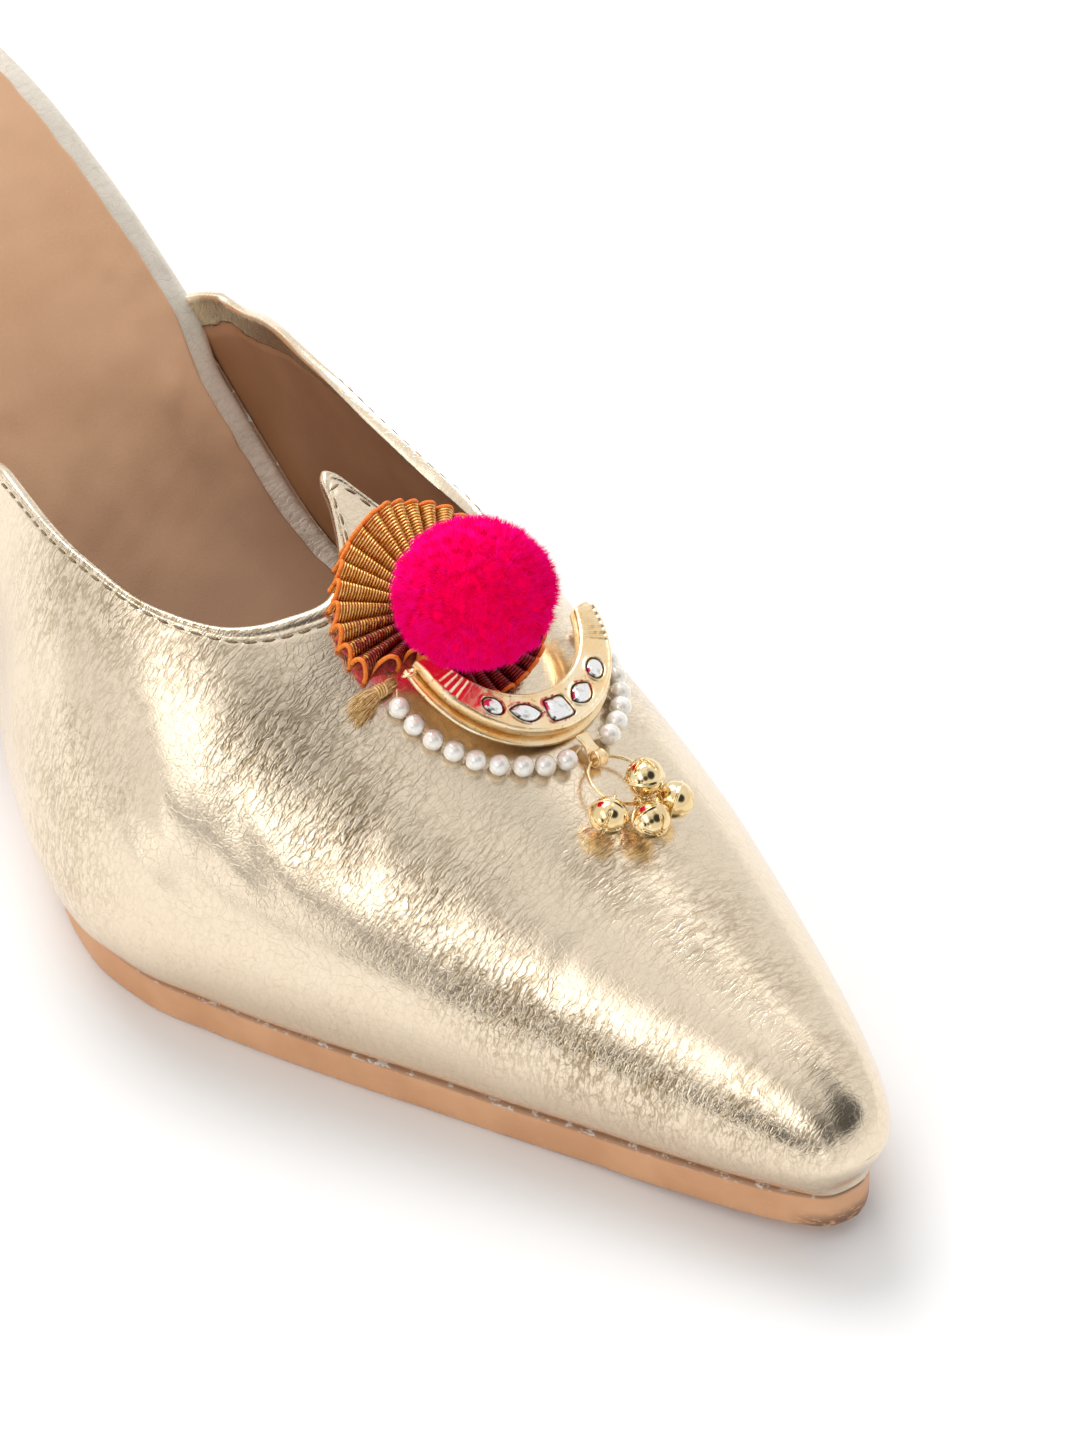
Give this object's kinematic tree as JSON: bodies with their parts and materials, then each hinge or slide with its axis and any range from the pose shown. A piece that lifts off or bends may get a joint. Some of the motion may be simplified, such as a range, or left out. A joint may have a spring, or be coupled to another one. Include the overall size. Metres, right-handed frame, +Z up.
{
  "type": "womens pointed-toe heeled mule",
  "caption": "Right-foot pointed-toe mule with a block heel, hollow foil-leather upper, padded sock and a throat ornament with pompom, ruffle, crescent, pearls and small bells.",
  "frame": {"origin": "on the floor under the middle of the shoe's outline box", "axes": "+Z up from the floor, +Y from the toe back to the heel, +X across towards the inner side of the foot"},
  "size_m": [0.0812, 0.2422, 0.074],
  "materials": {
    "foil_leather": "pale champagne metallic foil over fine-pebbled leather",
    "heel_foil": "the same foil leather wrapped tightly over the heel block",
    "sock_suede": "tan suede-like padded sock",
    "sole_leather": "peach-tan sole with a smooth painted edge",
    "heel_rubber": "dense brown rubber top piece",
    "brocade": "pleated ribbed gold ribbon turning dark red inward",
    "pompom_yarn": "dense cut yarn, hot pink",
    "cast_gold": "satin cast gold-coloured metal, slightly pitted",
    "bright_brass": "pale polished brass",
    "crystal": "clear cut stones with a silvered back",
    "pearl_glass": "glossy translucent white beads",
    "straw": "frayed straw-gold fibre"
  },
  "bodies": {
    "root": {"outsole": "sole_leather", "insole_board": "foil_leather", "insole_sock": "sock_suede", "upper": "foil_leather", "heel": "heel_foil", "heel_top_piece": "heel_rubber", "ruffle": "brocade", "pompom": "pompom_yarn", "crescent": "cast_gold", "crescent_back": "cast_gold", "stone_1": "crystal", "stone_2": "crystal", "stone_3": "crystal", "stone_4": "crystal", "stone_5": "crystal", "pearl_01": "pearl_glass", "pearl_02": "pearl_glass", "pearl_03": "pearl_glass", "pearl_04": "pearl_glass", "pearl_05": "pearl_glass", "pearl_06": "pearl_glass", "pearl_07": "pearl_glass", "pearl_08": "pearl_glass", "pearl_09": "pearl_glass", "pearl_10": "pearl_glass", "pearl_11": "pearl_glass", "pearl_12": "pearl_glass", "pearl_13": "pearl_glass", "pearl_14": "pearl_glass", "pearl_15": "pearl_glass", "pearl_16": "pearl_glass", "pearl_17": "pearl_glass", "bail": "cast_gold", "fibre_knot": "straw"},
    "ring": {"jump_ring": "bright_brass"},
    "bell_a": {"bell_1": "bright_brass"},
    "bell_b": {"bell_2": "bright_brass"},
    "bell_c": {"bell_3": "bright_brass"},
    "bell_d": {"bell_4": "bright_brass"}
  },
  "joints": [
    {"name": "ring_swing", "type": "hinge", "parent": "root", "child": "ring", "pos_m": [0.0129, -0.06088, 0.04167], "axis": [-0.9687, 0, 0.2483], "range_deg": [0, 70]},
    {"name": "bell_a_swing", "type": "hinge", "parent": "ring", "child": "bell_a", "pos_m": [0.00905, -0.06787, 0.04149], "axis": [-0.5233, 0.8088, 0.2683], "range_deg": [0, 25]},
    {"name": "bell_b_swing", "type": "hinge", "parent": "ring", "child": "bell_b", "pos_m": [0.01183, -0.0697, 0.04048], "axis": [-0.9489, 0.163, 0.2702], "range_deg": [0, 12]},
    {"name": "bell_c_swing", "type": "hinge", "parent": "ring", "child": "bell_c", "pos_m": [0.01514, -0.06891, 0.03976], "axis": [-0.8068, -0.5803, 0.1105], "range_deg": [0, 12]},
    {"name": "bell_d_swing", "type": "hinge", "parent": "ring", "child": "bell_d", "pos_m": [0.01353, -0.06965, 0.04005], "axis": [0.9527, 0.2221, -0.2073], "range_deg": [0, 8]}
  ]
}
